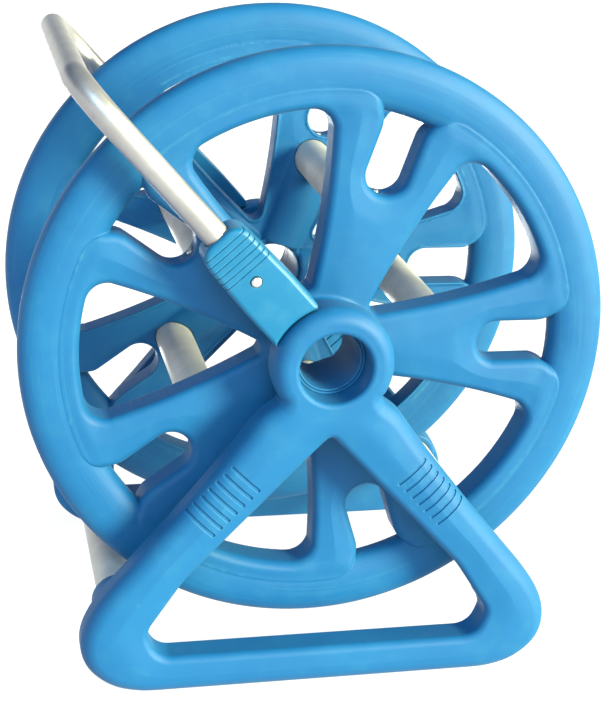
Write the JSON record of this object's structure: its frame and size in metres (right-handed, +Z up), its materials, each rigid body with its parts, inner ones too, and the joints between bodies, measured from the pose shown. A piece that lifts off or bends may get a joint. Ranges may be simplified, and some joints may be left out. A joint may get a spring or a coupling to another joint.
{
  "type": "pool hose reel",
  "caption": "Free-standing manual reel for a pool vacuum hose: spoked wheels joined by drum tubes turn between A-shaped side frames under a U handle.",
  "frame": {"origin": "on the floor, under the middle of the axle", "axes": "+Z up, +Y along the axle from the front side frame to the rear one, +X to the right of the front side; the handle leans towards -X"},
  "size_m": [0.58, 0.416, 0.626],
  "materials": {
    "blue_moulded_plastic": "satin blow-moulded polyethylene",
    "sea_blue_plastic": "satin injection-moulded plastic",
    "matte_aluminium": "matte anodised",
    "satin_aluminium": "satin anodised",
    "stainless_steel": "plain"
  },
  "bodies": {
    "frame": {"front_side_frame": "blue_moulded_plastic", "rear_side_frame": "blue_moulded_plastic", "left_base_tube": "matte_aluminium", "right_base_tube": "matte_aluminium", "front_left_base_screw": "stainless_steel", "front_right_base_screw": "stainless_steel", "rear_left_base_screw": "stainless_steel", "rear_right_base_screw": "stainless_steel", "front_handle_socket": "sea_blue_plastic", "rear_handle_socket": "sea_blue_plastic", "front_socket_screw_1": "stainless_steel", "front_socket_screw_2": "stainless_steel", "rear_socket_screw_1": "stainless_steel", "rear_socket_screw_2": "stainless_steel", "handle_tube": "satin_aluminium", "front_button_spring": "stainless_steel", "rear_button_spring": "stainless_steel", "front_axle_bush": "blue_moulded_plastic", "rear_axle_bush": "blue_moulded_plastic"},
    "reel": {"front_wheel": "blue_moulded_plastic", "rear_wheel": "blue_moulded_plastic", "drum_tube_1": "matte_aluminium", "drum_tube_2": "matte_aluminium", "drum_tube_3": "matte_aluminium", "drum_tube_4": "matte_aluminium", "drum_tube_5": "matte_aluminium", "front_drum_screw_1": "stainless_steel", "front_drum_screw_2": "stainless_steel", "front_drum_screw_3": "stainless_steel", "front_drum_screw_4": "stainless_steel", "front_drum_screw_5": "stainless_steel", "rear_drum_screw_1": "stainless_steel", "rear_drum_screw_2": "stainless_steel", "rear_drum_screw_3": "stainless_steel", "rear_drum_screw_4": "stainless_steel", "rear_drum_screw_5": "stainless_steel", "front_hub_journal": "blue_moulded_plastic", "rear_hub_journal": "blue_moulded_plastic", "front_hub_screw_1": "stainless_steel", "front_hub_screw_2": "stainless_steel", "front_hub_screw_3": "stainless_steel", "rear_hub_screw_1": "stainless_steel", "rear_hub_screw_2": "stainless_steel", "rear_hub_screw_3": "stainless_steel"},
    "front_button": {"front_snap_button": "satin_aluminium"},
    "rear_button": {"rear_snap_button": "satin_aluminium"}
  },
  "joints": [
    {"name": "reel_spin", "type": "hinge", "parent": "frame", "child": "reel", "pos_m": [0, 0, 0.336], "axis": [0, 1, 0], "continuous": true},
    {"name": "front_button_press", "type": "slide", "parent": "frame", "child": "front_button", "axis": [0, 1, 0], "range_m": [0, 0.0088], "stiffness_N_per_m": 800, "springref_m": -0.002},
    {"name": "rear_button_press", "type": "slide", "parent": "frame", "child": "rear_button", "axis": [0, -1, 0], "range_m": [0, 0.0088], "stiffness_N_per_m": 800, "springref_m": -0.002}
  ]
}
